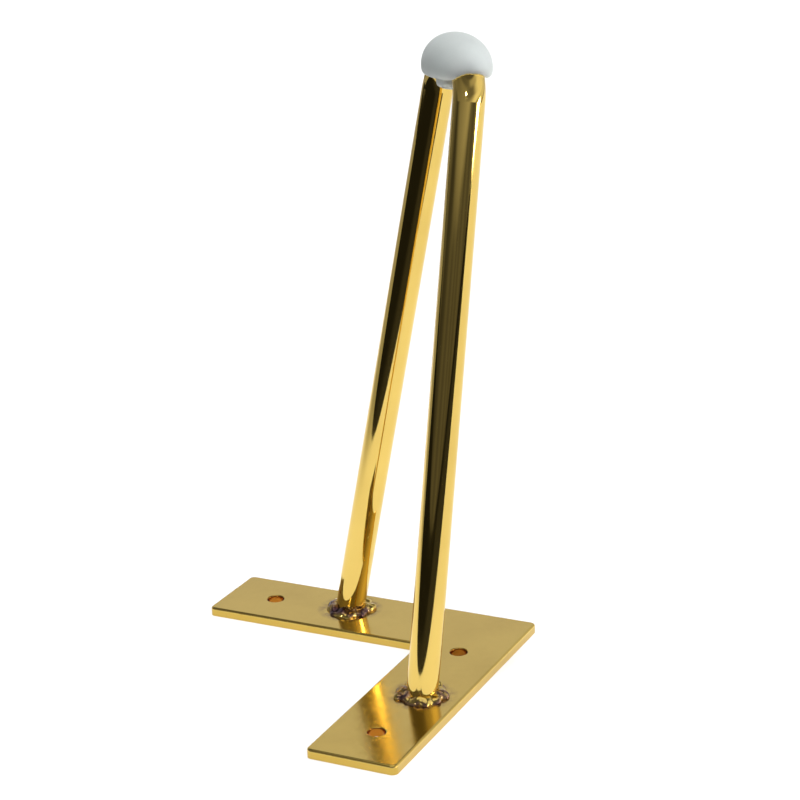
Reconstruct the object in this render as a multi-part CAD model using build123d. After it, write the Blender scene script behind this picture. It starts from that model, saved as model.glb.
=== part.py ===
from build123d import *
import os
from math import asin, atan2, cos, hypot, radians, sin

os.makedirs("parts", exist_ok=True)

# Sizes are in millimetres and degrees.
# The leg stands on its mounting face with the foot up. The origin is where the
# centre lines of the two plate arms cross, +X points at the plate's outer corner.

# Mounting plate: an L of two equal flat arms
arm_length = 110.0
arm_width = 30.0
plate_thickness = 3.0
plate_corner_r = 2.0
plate_arris_r = 0.8

# Screw holes, on the centre lines of the arms
hole_d = 5.6
hole_lip_r = 0.5
end_hole_setback = 18.0
third_hole_reach = 16.0

# Hairpin rod: one round bar bent into a U and welded on by both ends
rod_d = 10.0
leg_height = 200.0
bend_r = 13.5
rod_reach = 49.0
rod_offset = 2.2
lean = 8.9

# Weld beads: an uneven ring of lobes round each end of the rod
bead_lobes = 11
bead_lobe_r = 2.5
bead_lobe_swing = 0.6
bead_spread = 1.5
bead_spread_swing = 0.4
bead_rise = 0.5
bead_lobe_waves = 5
bead_spread_waves = 3
bead_start = 90.0

# Foot cap: a bulb moulded over the bend, with a tongue down between the rods
cap_length = 31.6
cap_width = 20.2
cap_sole = 2.4
cap_gap = 0.1
cap_rim_drop = 2.8
cap_rim_r = 1.2
tongue_thickness = 10.0
tongue_width = 8.5
tongue_drop = 4.4
tongue_corner_r = 2.0
tongue_tip_r = 1.2
tongue_root_r = 1.5

# Values that follow from the sizes above
rod_r = rod_d / 2
hole_r = hole_d / 2
cap_r = cap_width / 2
arm_angle = 135.0
end_hole_reach = arm_length - arm_width / 2 - end_hole_setback
arm_axes = {"far": Rot(0, 0, arm_angle), "near": Rot(0, 0, -arm_angle)}
side_sign = {"far": 1, "near": -1}

# Foot of each rod end on the plate's upper face
arm_dir = (cos(radians(arm_angle)), sin(radians(arm_angle)))
foot_x = rod_reach * arm_dir[0] + rod_offset * arm_dir[1]
foot_y = rod_reach * arm_dir[1] - rod_offset * arm_dir[0]

# Plane of the hairpin: x runs across the two rods, y runs up the lean
lean_dir = (sin(radians(lean)), 0, cos(radians(lean)))
lean_normal = (cos(radians(lean)), 0, -sin(radians(lean)))
rod_plane = Plane(origin=(foot_x, 0, plate_thickness), x_dir=(0, 1, 0), z_dir=lean_normal)

# Bend centre up the lean, and where the straight rods run into the bend
bend_top = (leg_height - plate_thickness - rod_r) / cos(radians(lean))
bend_height = bend_top - bend_r
splay = atan2(foot_y, bend_height) - asin(bend_r / hypot(foot_y, bend_height))
tangent_x = bend_r * cos(splay)
tangent_y = bend_height + bend_r * sin(splay)
bend_plane = Plane(
    origin=rod_plane.from_local_coords((0, bend_height, 0)),
    x_dir=rod_plane.x_dir,
    z_dir=lean_normal,
)


def below(height):
    """Everything under a level, to trim what stands on it."""
    size = 4 * (arm_length + leg_height)
    return Pos(0, 0, height - size / 2) * Box(size, size, size)


def hairpin(radius):
    """The bent bar at a given radius, run on past the plate so that it can be trimmed."""
    run_on = 2 * rod_d
    start_x = foot_y + run_on * sin(splay)
    start_y = -run_on * cos(splay)
    right = Line((start_x, start_y), (tangent_x, tangent_y))
    over = ThreePointArc((tangent_x, tangent_y), (0, bend_top), (-tangent_x, tangent_y))
    left = Line((-tangent_x, tangent_y), (-start_x, start_y))
    path = rod_plane * Wire([right, over, left])
    section = Plane(origin=path @ 0, z_dir=path % 0) * Circle(radius)
    return sweep(section, path=path)


def mounting_plate():
    """L-shaped plate with rolled upper edges and three screw holes."""
    outline = Sketch()
    for axis in arm_axes.values():
        outline += axis * Pos((arm_length - arm_width) / 2, 0) * Rectangle(arm_length, arm_width)
    outline = fillet(outline.vertices(), plate_corner_r)
    plate = extrude(outline, plate_thickness)
    plate = fillet(plate.faces().sort_by(Axis.Z)[-1].edges(), plate_arris_r)
    places = [axis * Pos(end_hole_reach, 0) for axis in arm_axes.values()]
    places.append(arm_axes["near"] * Pos(third_hole_reach, 0))
    for place in places:
        plate -= place * extrude(Circle(hole_r), plate_thickness)
    rims = plate.edges().filter_by(GeomType.CIRCLE).group_by(Axis.Z)[-1]
    lips = [rim for rim in rims if abs(rim.radius - hole_r) < hole_lip_r / 2]
    return fillet(lips, hole_lip_r)


def weld_bead(side):
    """Lobed ring of weld metal standing on the plate, hugging the end of the rod."""
    bead = Part()
    for lobe in range(bead_lobes):
        angle = 360 * lobe / bead_lobes
        wave = radians(angle + bead_start * side_sign[side])
        radius = bead_lobe_r + bead_lobe_swing * sin(bead_lobe_waves * wave)
        ring_r = rod_r + bead_spread + bead_spread_swing * sin(bead_spread_waves * wave)
        bead += Rot(0, 0, angle) * Pos(ring_r, 0, bead_rise) * Sphere(radius)
    bead = Pos(foot_x, side_sign[side] * foot_y, plate_thickness) * bead
    return bead - below(plate_thickness) - hairpin(rod_r)


def cap_bulb():
    """Dome with a rounded level rim, stretched along the bend."""
    kept = Pos(0, -cap_rim_drop) * Rectangle(cap_r, cap_width, align=(Align.MIN, Align.MIN))
    half = Circle(cap_r) & kept
    rim = half.vertices().group_by(Axis.Y)[0].sort_by(Axis.X)[-1]
    dome = revolve(Plane.XZ * fillet(rim, cap_rim_r), Axis.Z)
    return scale(dome, (1, cap_length / cap_width, 1))


def cap_tongue():
    """Tab with rounded corners and edges that hangs from the middle of the dome."""
    shape = Rectangle(tongue_width, cap_rim_drop + tongue_drop, align=(Align.CENTER, Align.MAX))
    shape = fillet(shape.vertices().group_by(Axis.Y)[0], tongue_corner_r)
    tongue = extrude(shape, tongue_thickness / 2, both=True)
    sides = tongue.faces().filter_by(Axis.Z).edges()
    return fillet([edge for edge in sides if edge.center().Y < -tongue_tip_r], tongue_tip_r)


def foot_cap():
    """Bulb that the bend breaks out of at both ends, leaving an arch over each rod."""
    centre = bend_plane.from_local_coords((0, bend_r + rod_r + cap_sole - cap_r, 0))
    at_tongue = Plane(origin=centre, x_dir=bend_plane.x_dir, z_dir=lean_normal)
    cap = Pos(*centre) * cap_bulb() + at_tongue * cap_tongue()
    rim = cap.faces().filter_by(Axis.Z).sort_by(SortBy.AREA)[-1]
    cap = cap.fillet(tongue_root_r, rim.inner_wires()[0].edges())
    return cap - hairpin(rod_r + cap_gap)


rod = hairpin(rod_r) - below(plate_thickness)
nodes = {
    "mounting_plate": mounting_plate(),
    "hairpin_rod": rod,
    "weld_bead_far": weld_bead("far"),
    "weld_bead_near": weld_bead("near"),
    "foot_cap": foot_cap(),
}
for name, shape in nodes.items():
    export_step(shape, f"parts/{name}.step")
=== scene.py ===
import math

import bmesh
import bpy
from mathutils import Matrix, Vector, noise


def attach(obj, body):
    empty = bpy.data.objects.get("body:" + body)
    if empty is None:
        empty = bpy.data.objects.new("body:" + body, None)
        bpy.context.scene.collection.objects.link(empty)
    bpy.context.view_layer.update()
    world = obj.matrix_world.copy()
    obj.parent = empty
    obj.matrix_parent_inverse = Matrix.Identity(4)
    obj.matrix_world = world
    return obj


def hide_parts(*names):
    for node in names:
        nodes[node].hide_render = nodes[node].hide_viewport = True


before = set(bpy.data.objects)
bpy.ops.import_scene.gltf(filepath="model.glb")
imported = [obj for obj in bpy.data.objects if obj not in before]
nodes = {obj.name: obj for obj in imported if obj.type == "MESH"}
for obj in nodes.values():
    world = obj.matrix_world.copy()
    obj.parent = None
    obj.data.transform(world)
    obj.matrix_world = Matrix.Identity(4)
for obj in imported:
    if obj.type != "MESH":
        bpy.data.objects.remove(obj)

scene = bpy.context.scene
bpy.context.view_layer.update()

# Lengths are in metres, lamp powers in watts and lamp spreads in degrees.

# Camera, solved from the plate's and the rods' outlines
VIEW_AZIMUTH = math.radians(-18.925)
VIEW_ELEVATION = math.radians(17.961)
VIEW_ROLL = math.radians(-1.768)
VIEW_PLACE = Vector((-0.226322, -0.587155, 0.289295))
VIEW_LENS = 92.62
VIEW_SENSOR = 36
VIEW_RANGE = 50

# Plating colours: polished, worn, a darker gold painted on the plate's upright edges as painted shade, a
# dark bronze-brown painted in the screw holes as painted shade, stained by heat
GOLD = (0.8, 0.57, 0.15)
GOLD_WORN = (0.74, 0.52, 0.135)
GOLD_EDGE_PAINTED_SHADE = (0.62, 0.42, 0.09)
HOLE_PAINTED_SHADE = (0.45, 0.17, 0.02)
STAIN = (0.24, 0.15, 0.11)
WEAR = ((0.35, GOLD_WORN), (0.6, GOLD))
HEAT_TINT = ((0.38, (0.09, 0.045, 0.06)), (0.46, (0.4, 0.24, 0.14)), (0.54, GOLD))

# Rubber: light passes a little way into it, so that its shading is soft
RUBBER_TONES = ((0.3, (0.415, 0.445, 0.44)), (0.7, (0.46, 0.495, 0.485)))
RUBBER_DEPTH = 0.012

# Places on the plate: its upper face, the feet and slope of the leaning rods, the screw holes
PLATE_TOP = 0.003
ROD_R = 0.005
ROD_FOOT = (-0.0331, 0.0362)
ROD_SLOPE = (0.1566, 0.1264)
ROD_FEET = (ROD_FOOT, (ROD_FOOT[0], -ROD_FOOT[1]))
HOLES = ((-0.05445, 0.05445), (-0.05445, -0.05445), (-0.01131, -0.01131))

# Weld collars: rings of points that sweep from the rod down to the plate. Noise sways how far
# they rise and reach, and adds lumps and ripples. They bite a little into the rod and the plate.
COLLAR_STEPS = 144
COLLAR_ROWS = 15
COLLAR_SWEEP = math.radians(95)
COLLAR_BITE = 0.0001
COLLAR_SINK = 0.0002
COLLAR_SEED_R = 1.5
COLLAR_SEED_STEP = 7.0
RISE = 0.0021
RISE_SWAY = 0.0011
RISE_PACE = 1.3
REACH = 0.0034
REACH_SWAY = 0.0015
REACH_PACE = 1.7
REACH_SHIFT = Vector((3, 0, 0))
LUMP = 0.0006
LUMP_PACE = 420
RIPPLE = 0.00012
RIPPLE_PACE = 1400

# Easing of the cap: corners that count as one point, grain of the new skin, strength and rounds
CAP_MERGE = 1e-6
CAP_GRAIN = 0.0003
CAP_EASE = 0.5
CAP_EASE_ROUNDS = 40

# Ground, as places right of and away from the leg: a pale sheet whose front edge runs past just
# below the picture, on a dark table that gives the rods their dark bands
SHEET = ((-3.0, 1.135), (3.0, -1.566), (3.0, 3.2), (-3.0, 3.2))
SHEET_COLOUR = (0.93, 0.93, 0.93)
TABLE = ((-6, -6), (6, -6), (6, 6), (-6, 6))
TABLE_COLOUR = (0.035, 0.035, 0.035)
TABLE_HEIGHT = -0.002
GROUND_SHADE = 0.99

# Lamps: the overhead one is turned so that it fades out just beyond the picture's left edge,
# and the others aim at the cap
OVERHEAD_TURN = math.radians(10.5)
CAP_HEIGHT = 0.19

# Studio walls, in layers from the floor up. A layer takes over from the one below between two
# sines of elevation. Its pairs are a compass direction (0 left, 0.25 camera, 0.5 right, 0.75 away)
# and the brightness there.
WALLS = (
    # Dark with faint streaks, and bright on the right
    (None, (
        (0.0, 0.05), (0.07, 0.05), (0.12, 0.14), (0.16, 0.05), (0.2, 0.15), (0.225, 0.06),
        (0.25, 0.14), (0.275, 0.06), (0.31, 0.15), (0.34, 0.08), (0.38, 0.08), (0.42, 0.5),
        (0.45, 0.85), (0.6, 0.8), (0.68, 0.5), (0.8, 0.5), (0.9, 0.2), (1.0, 0.05),
    )),
    # A band of windows, from the camera round to the right
    ((0.12, 0.18), (
        (0.0, 0.2), (0.1, 0.25), (0.2, 0.35), (0.28, 0.5), (0.34, 0.85), (0.4, 1.05),
        (0.5, 1.15), (0.58, 0.9), (0.65, 0.4), (0.75, 0.5), (0.85, 0.3), (1.0, 0.15),
    )),
    # A bright panel on the right and a grey one behind the leg
    ((0.22, 0.36), (
        (0.0, 0.15), (0.12, 0.3), (0.22, 0.2), (0.33, 0.1), (0.39, 0.7), (0.46, 1.1),
        (0.55, 1.0), (0.61, 0.45), (0.67, 0.65), (0.83, 0.65), (0.88, 0.25), (1.0, 0.15),
    )),
    # Upper windows, from the camera round to the right
    ((0.52, 0.66), (
        (0.0, 0.12), (0.23, 0.12), (0.29, 0.45), (0.42, 0.5), (0.47, 1.0), (0.54, 0.8),
        (0.6, 0.15), (1.0, 0.12),
    )),
    # A dim cornice all round
    ((0.72, 0.8), ((0.0, 0.1), (1.0, 0.1))),
    # A pale ceiling
    ((0.88, 0.95), ((0.0, 0.9), (1.0, 0.9))),
)


def set_stops(ramp, stops):
    """Give a colour ramp its stops, each a place and a colour."""
    elements = ramp.color_ramp.elements
    while len(elements) < len(stops):
        elements.new(0.5)
    for element, (place, colour) in zip(elements, stops):
        element.position = place
        element.color = (*colour, 1.0)


def colour_sockets(node):
    """The two colour inputs and the colour output of a mix node."""
    first, second = [socket for socket in node.inputs if socket.type == "RGBA"]
    result = [socket for socket in node.outputs if socket.type == "RGBA"][0]
    return first, second, result


class Shader:
    """A small helper that builds one node material."""

    def __init__(self, name):
        self.material = bpy.data.materials.new(name)
        self.material.use_nodes = True
        self.tree = self.material.node_tree
        self.surface = self.tree.nodes["Principled BSDF"]
        self.place = self.add("ShaderNodeTexCoord").outputs["Object"]

    def add(self, kind, **settings):
        node = self.tree.nodes.new(kind)
        for key, value in settings.items():
            setattr(node, key, value)
        return node

    def link(self, source, target):
        self.tree.links.new(source, target)

    def set(self, **values):
        for key, value in values.items():
            self.surface.inputs[key.replace("_", " ")].default_value = value

    def drive(self, key, source):
        self.link(source, self.surface.inputs[key])

    def noise(self, scale, detail, stretch=(1, 1, 1)):
        mapping = self.add("ShaderNodeMapping")
        mapping.inputs["Scale"].default_value = stretch
        self.link(self.place, mapping.inputs["Vector"])
        texture = self.add("ShaderNodeTexNoise")
        texture.inputs["Scale"].default_value = scale
        texture.inputs["Detail"].default_value = detail
        self.link(mapping.outputs["Vector"], texture.inputs["Vector"])
        return texture.outputs["Fac"]

    def ramp(self, source, stops):
        ramp = self.add("ShaderNodeValToRGB")
        set_stops(ramp, stops)
        self.link(source, ramp.inputs["Fac"])
        return ramp.outputs["Color"]

    def remap(self, source, low, high, to_low, to_high):
        node = self.add("ShaderNodeMapRange")
        limits = {"From Min": low, "From Max": high, "To Min": to_low, "To Max": to_high}
        for key, value in limits.items():
            node.inputs[key].default_value = value
        self.link(source, node.inputs["Value"])
        return node.outputs["Result"]

    def mix(self, share, below, colour):
        node = self.add("ShaderNodeMix", data_type="RGBA")
        self.link(share, node.inputs["Factor"])
        first, second, result = colour_sockets(node)
        self.link(below, first)
        second.default_value = (*colour, 1.0)
        return result

    def bump(self, source, strength, distance):
        node = self.add("ShaderNodeBump")
        node.inputs["Strength"].default_value = strength
        node.inputs["Distance"].default_value = distance
        self.link(source, node.inputs["Height"])
        self.drive("Normal", node.outputs["Normal"])


def upright(shader):
    """1 on upright faces, 0 on level ones."""
    normal = shader.add("ShaderNodeSeparateXYZ")
    shader.link(shader.add("ShaderNodeNewGeometry").outputs["True Normal"], normal.inputs["Vector"])
    return shader.remap(normal.outputs["Z"], low=0.0, high=0.3, to_low=1.0, to_high=0.0)


def near_axes(shader, places, inner, outer):
    """1 within the inner radius of any of the upright axes, fading to 0 at the outer radius."""
    share = None
    for x, y in places:
        distance = shader.add("ShaderNodeVectorMath", operation="DISTANCE")
        flat = shader.add("ShaderNodeVectorMath", operation="MULTIPLY")
        flat.inputs[1].default_value = (1, 1, 0)
        shader.link(shader.place, flat.inputs[0])
        shader.link(flat.outputs["Vector"], distance.inputs[0])
        distance.inputs[1].default_value = (x, y, 0)
        close = shader.remap(distance.outputs["Value"], low=inner, high=outer, to_low=1.0, to_high=0.0)
        if share is None:
            share = close
        else:
            both = shader.add("ShaderNodeMath", operation="MAXIMUM")
            shader.link(share, both.inputs[0])
            shader.link(close, both.inputs[1])
            share = both.outputs["Value"]
    return share


def plate_plating():
    """Polished plating, a faint stain round the welds, painted shade on the plate's upright faces and in
    the screw holes.
    """
    shader = Shader("plate_gold")
    shader.set(Metallic=1.0)
    colour = shader.ramp(shader.noise(scale=38, detail=5), WEAR)
    halo = near_axes(shader, ROD_FEET, inner=0.009, outer=0.0115)
    patches = shader.remap(shader.noise(scale=260, detail=4), low=0.35, high=0.7, to_low=0.0, to_high=0.9)
    patchy = shader.add("ShaderNodeMath", operation="MULTIPLY")
    shader.link(halo, patchy.inputs[0])
    shader.link(patches, patchy.inputs[1])
    colour = shader.mix(patchy.outputs["Value"], colour, STAIN)
    # Painted shade: the plate's upright faces are painted a darker gold
    colour = shader.mix(upright(shader), colour, GOLD_EDGE_PAINTED_SHADE)
    # Painted shade: the walls of the screw holes are painted a dark bronze-brown
    colour = shader.mix(near_axes(shader, HOLES, inner=0.00285, outer=0.0031), colour, HOLE_PAINTED_SHADE)
    shader.drive("Base Color", colour)
    haze = shader.noise(scale=420, detail=3)
    shader.drive("Roughness", shader.remap(haze, low=0.3, high=0.7, to_low=0.11, to_high=0.18))
    shader.bump(shader.noise(scale=380, detail=2), strength=0.035, distance=0.0004)
    return shader.material


def rod_plating():
    """The same plating over drawn bar, with fine lines along it."""
    shader = Shader("rod_gold")
    shader.set(Metallic=1.0)
    along = (1, 1, 0.04)
    shader.drive("Base Color", shader.ramp(shader.noise(scale=38, detail=5), WEAR))
    haze = shader.noise(scale=420, detail=3, stretch=along)
    shader.drive("Roughness", shader.remap(haze, low=0.3, high=0.7, to_low=0.03, to_high=0.07))
    shader.bump(shader.noise(scale=160, detail=2, stretch=along), strength=0.05, distance=0.0004)
    return shader.material


def weld_metal():
    """Plated weld metal: polished gold patches and dull ones with a dark purple-brown heat tint."""
    shader = Shader("weld_gold")
    shader.set(Metallic=1.0)
    tint = shader.noise(scale=170, detail=5)
    shader.drive("Base Color", shader.ramp(tint, HEAT_TINT))
    shader.drive("Roughness", shader.remap(tint, low=0.3, high=0.6, to_low=0.3, to_high=0.08))
    shader.bump(shader.noise(scale=700, detail=4), strength=0.12, distance=0.0005)
    return shader.material


def cap_moulding():
    """Satin rubber with a fine moulded grain."""
    shader = Shader("cap_rubber")
    shader.set(Roughness=0.55)
    shader.set(Subsurface_Weight=1.0, Subsurface_Radius=(1.0, 1.0, 1.0), Subsurface_Scale=RUBBER_DEPTH)
    shader.drive("Base Color", shader.ramp(shader.noise(scale=90, detail=4), RUBBER_TONES))
    shader.bump(shader.noise(scale=1500, detail=2), strength=0.06, distance=0.0002)
    return shader.material


def paint(node, material):
    """Put a material on every face of a node."""
    for place in node.material_slots:
        place.material = material


def around(step):
    """Direction of one step round a collar."""
    turn = math.tau * step / COLLAR_STEPS
    return Vector((math.cos(turn), math.sin(turn), 0))


def collar_points(side):
    """Rings of points from the top of a collar down to the plate, and one hidden inner ring."""
    foot = Vector((ROD_FOOT[0], side * ROD_FOOT[1], PLATE_TOP))
    slope = Vector((ROD_SLOPE[0], -side * ROD_SLOPE[1], 1.0))
    points = []
    for row in range(COLLAR_ROWS):
        bend = COLLAR_SWEEP * row / (COLLAR_ROWS - 1)
        for step in range(COLLAR_STEPS):
            out = around(step)
            seed = out * COLLAR_SEED_R + Vector((0, 0, COLLAR_SEED_STEP * side))
            rise = RISE + RISE_SWAY * noise.noise(seed * RISE_PACE)
            reach = REACH + REACH_SWAY * noise.noise(seed * REACH_PACE + REACH_SHIFT)
            radius = ROD_R - COLLAR_BITE + reach * math.sin(bend)
            place = foot + slope * (rise * math.cos(bend)) + out * radius
            lump = LUMP * noise.noise(place * LUMP_PACE) + RIPPLE * noise.noise(place * RIPPLE_PACE)
            points.append(place + (out * math.sin(bend) + Vector((0, 0, math.cos(bend)))) * lump)
    for step in range(COLLAR_STEPS):
        points.append(foot + around(step) * (ROD_R - COLLAR_BITE) - Vector((0, 0, COLLAR_SINK)))
    return points


def weld_collar(name, side, material):
    """An uneven collar of run weld metal round one rod end, standing for its CAD node."""
    rings = COLLAR_ROWS + 1
    faces = []
    for ring in range(rings):
        start = ring * COLLAR_STEPS
        end = (ring + 1) % rings * COLLAR_STEPS
        for step in range(COLLAR_STEPS):
            after = (step + 1) % COLLAR_STEPS
            faces.append((start + step, end + step, end + after, start + after))
    mesh = bpy.data.meshes.new(name + "_collar")
    mesh.from_pydata(collar_points(side), [], faces)
    mesh.shade_smooth()
    hidden_from = (COLLAR_ROWS - 1) * COLLAR_STEPS
    for face in mesh.polygons[hidden_from:]:
        face.use_smooth = False
    mesh.materials.append(material)
    piece = bpy.data.objects.new(name + "_collar", mesh)
    scene.collection.objects.link(piece)
    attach(piece, "root")
    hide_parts(name)


def moulded_cap(material):
    """The cap as one soft moulding, with every edge and root eased, standing for its CAD node."""
    form = bmesh.new()
    form.from_mesh(nodes["foot_cap"].data)
    bmesh.ops.remove_doubles(form, verts=form.verts, dist=CAP_MERGE)
    mesh = bpy.data.meshes.new("foot_cap_moulded")
    form.to_mesh(mesh)
    form.free()
    piece = bpy.data.objects.new("foot_cap_moulded", mesh)
    scene.collection.objects.link(piece)
    skin = piece.modifiers.new("skin", "REMESH")
    skin.mode = "VOXEL"
    skin.voxel_size = CAP_GRAIN
    ease = piece.modifiers.new("ease", "SMOOTH")
    ease.factor = CAP_EASE
    ease.iterations = CAP_EASE_ROUNDS
    graph = bpy.context.evaluated_depsgraph_get()
    piece.data = bpy.data.meshes.new_from_object(piece.evaluated_get(graph))
    piece.modifiers.clear()
    piece.data.shade_smooth()
    piece.data.materials.clear()
    piece.data.materials.append(material)
    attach(piece, "root")
    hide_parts("foot_cap")


def studio_point(right, forward, height):
    """A place given as seen from the camera: to the right, away and up."""
    c, s = math.cos(VIEW_AZIMUTH), math.sin(VIEW_AZIMUTH)
    return Vector((right * c - forward * s, right * s + forward * c, height))


def ground(name, corners, height, colour):
    """A level sheet of matt material, with a slight change of tone across it."""
    mesh = bpy.data.meshes.new(name)
    points = [studio_point(right, forward, height) for right, forward in corners]
    mesh.from_pydata(points, [], [range(len(corners))])
    shader = Shader(name)
    shader.set(Roughness=1.0, Specular_IOR_Level=0.0)
    shaded = [GROUND_SHADE * level for level in colour]
    shader.drive("Base Color", shader.ramp(shader.noise(scale=6, detail=3), ((0.3, shaded), (0.7, colour))))
    mesh.materials.append(shader.material)
    piece = bpy.data.objects.new(name, mesh)
    scene.collection.objects.link(piece)


def area_light(name, place, aim, size, power, spread, turn=0.0, mirrored=True):
    """A lamp; one that isn't mirrored gives light without showing in the plating."""
    data = bpy.data.lights.new(name, "AREA")
    data.shape = "RECTANGLE"
    data.size, data.size_y = size
    data.energy = power
    data.spread = math.radians(spread)
    lamp = bpy.data.objects.new(name, data)
    lamp.visible_glossy = mirrored
    scene.collection.objects.link(lamp)
    facing = (aim - place).to_track_quat("-Z", "Y").to_matrix().to_4x4()
    lamp.matrix_world = Matrix.Translation(place) @ facing @ Matrix.Rotation(turn, 4, "Z")


def light_studio():
    """Broad soft light from straight above, and a box and two fills aimed at the cap."""
    above = studio_point(right=1.785, forward=1.318, height=1.5)
    cap = studio_point(right=0.0, forward=0.0, height=CAP_HEIGHT)
    area_light(
        "overhead", place=above, aim=above - Vector((0, 0, 1)), size=(4.6, 5.4), power=61.0, spread=12,
        turn=VIEW_AZIMUTH + OVERHEAD_TURN, mirrored=False,
    )
    area_light(
        "box_right", place=studio_point(right=1.0, forward=-0.35, height=CAP_HEIGHT), aim=cap,
        size=(0.5, 0.14), power=0.19, spread=30,
    )
    area_light(
        "fill_front", place=studio_point(right=0.4, forward=-0.9, height=0.06), aim=cap,
        size=(0.5, 0.1), power=0.18, spread=30, mirrored=False,
    )
    area_light(
        "fill_left", place=studio_point(right=-0.4, forward=-0.9, height=0.62), aim=cap,
        size=(0.16, 0.05), power=0.06, spread=24,
    )


def wall_ramp(tree, compass, levels):
    """Brightness round the compass."""
    ramp = tree.nodes.new("ShaderNodeValToRGB")
    ramp.color_ramp.interpolation = "B_SPLINE"
    set_stops(ramp, [(place, (level, level, level)) for place, level in levels])
    tree.links.new(compass, ramp.inputs["Fac"])
    return ramp.outputs["Color"]


def layer_over(tree, height, below, above, start, end):
    """One layer of wall over another, blended over a range of heights."""
    share = tree.nodes.new("ShaderNodeMapRange")
    share.interpolation_type = "SMOOTHSTEP"
    share.inputs["From Min"].default_value = start
    share.inputs["From Max"].default_value = end
    tree.links.new(height, share.inputs["Value"])
    blend = tree.nodes.new("ShaderNodeMix")
    blend.data_type = "RGBA"
    first, second, result = colour_sockets(blend)
    tree.links.new(share.outputs["Result"], blend.inputs["Factor"])
    tree.links.new(below, first)
    tree.links.new(above, second)
    return result


def build_room():
    """The studio round the leg, which lights it and shows in its plating."""
    world = bpy.data.worlds.new("studio")
    scene.world = world
    world.use_nodes = True
    tree = world.node_tree
    direction = tree.nodes.new("ShaderNodeTexCoord").outputs["Generated"]
    turned = tree.nodes.new("ShaderNodeMapping")
    turned.inputs["Rotation"].default_value = (0, 0, -VIEW_AZIMUTH)
    tree.links.new(direction, turned.inputs["Vector"])
    compass = tree.nodes.new("ShaderNodeTexGradient")
    compass.gradient_type = "RADIAL"
    tree.links.new(turned.outputs["Vector"], compass.inputs["Vector"])
    split = tree.nodes.new("ShaderNodeSeparateXYZ")
    tree.links.new(direction, split.inputs["Vector"])
    room = wall_ramp(tree, compass.outputs["Fac"], WALLS[0][1])
    for (start, end), levels in WALLS[1:]:
        layer = wall_ramp(tree, compass.outputs["Fac"], levels)
        room = layer_over(tree, split.outputs["Z"], room, layer, start, end)
    tree.links.new(room, tree.nodes["Background"].inputs["Color"])


def place_camera():
    data = bpy.data.cameras.new("camera")
    data.lens = VIEW_LENS
    data.sensor_width = VIEW_SENSOR
    data.clip_end = VIEW_RANGE
    camera = bpy.data.objects.new("camera", data)
    scene.collection.objects.link(camera)
    camera.matrix_world = (
        Matrix.Translation(VIEW_PLACE)
        @ Matrix.Rotation(VIEW_AZIMUTH, 4, "Z")
        @ Matrix.Rotation(math.pi / 2 - VIEW_ELEVATION, 4, "X")
        @ Matrix.Rotation(VIEW_ROLL, 4, "Z")
    )
    scene.camera = camera


paint(nodes["mounting_plate"], plate_plating())
paint(nodes["hairpin_rod"], rod_plating())
weld = weld_metal()
weld_collar("weld_bead_far", 1, weld)
weld_collar("weld_bead_near", -1, weld)
moulded_cap(cap_moulding())
ground("floor", SHEET, 0.0, SHEET_COLOUR)
ground("table", TABLE, TABLE_HEIGHT, TABLE_COLOUR)
light_studio()
build_room()
place_camera()
scene.view_settings.view_transform = "Standard"
